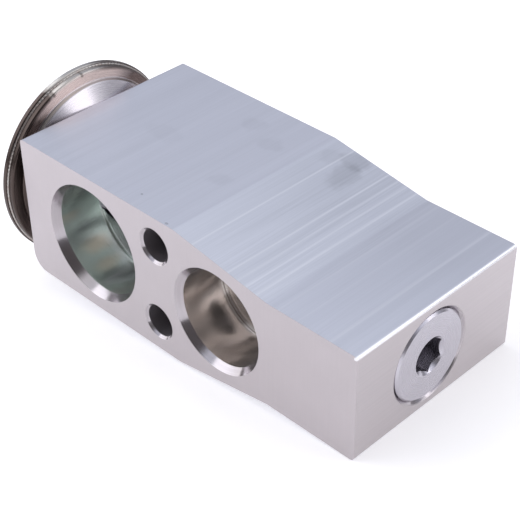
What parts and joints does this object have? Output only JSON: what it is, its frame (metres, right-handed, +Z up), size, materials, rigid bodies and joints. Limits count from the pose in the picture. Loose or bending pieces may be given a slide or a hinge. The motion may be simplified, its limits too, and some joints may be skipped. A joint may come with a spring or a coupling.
{
  "type": "expansion valve",
  "caption": "Block-type thermal expansion valve: tapered aluminium block with suction passage, liquid ports, mounting holes, power head and hex-socket adjusting plug.",
  "frame": {"origin": "middle of the two mounting holes, on the plane of the port face", "axes": "+X along the block from the power head to the adjusting plug, +Y from the port face to the back face, +Z up; ports, holes and head are symmetric about Z = 0"},
  "size_m": [0.0769, 0.0347, 0.0332],
  "materials": {
    "block_aluminium": "satin, extruded and milled",
    "plug_aluminium": "turned",
    "rod_aluminium": "turned and drawn",
    "head_steel": "pressed stainless steel, turned face",
    "thin_steel": "rolled",
    "spring_steel": "drawn wire and thin sheet",
    "ball_steel": "polished",
    "turned_brass": "turned",
    "seal_rubber": "moulded"
  },
  "bodies": {
    "block": {"valve_body": "block_aluminium", "head_base": "head_steel", "head_cover": "head_steel", "diaphragm": "thin_steel", "charge_plug": "head_steel", "head_seal_ring": "seal_rubber", "rod_seal_ring": "seal_rubber", "rod_seal_retainer": "spring_steel", "valve_spring": "spring_steel"},
    "stem": {"diaphragm_stop": "rod_aluminium", "sensing_rod": "rod_aluminium", "push_rod": "thin_steel", "valve_ball": "ball_steel", "ball_carrier": "turned_brass", "carrier_damper": "spring_steel"},
    "plug_ring": {"plug_seal_ring": "seal_rubber"},
    "plug": {"adjusting_plug": "plug_aluminium"}
  },
  "joints": [
    {"name": "valve_lift", "type": "slide", "parent": "block", "child": "stem", "axis": [1, 0, 0], "range_m": [0, 0.0008], "stiffness_N_per_m": 3000, "springref_m": -0.002, "deforming": ["valve_spring", "diaphragm"]},
    {"name": "plug_travel", "type": "slide", "parent": "block", "child": "plug_ring", "axis": [1, 0, 0], "range_m": [-0.001, 0.001], "deforming": ["valve_spring"]},
    {"name": "plug_turn", "type": "hinge", "parent": "plug_ring", "child": "plug", "pos_m": [0.03807, 0.01513, 0], "axis": [1, 0, 0], "range_deg": [-360, 360]}
  ],
  "couplings": [
    {"joint": "plug_travel", "follows": "plug_turn", "m_per_rad": 0.00015915}
  ]
}
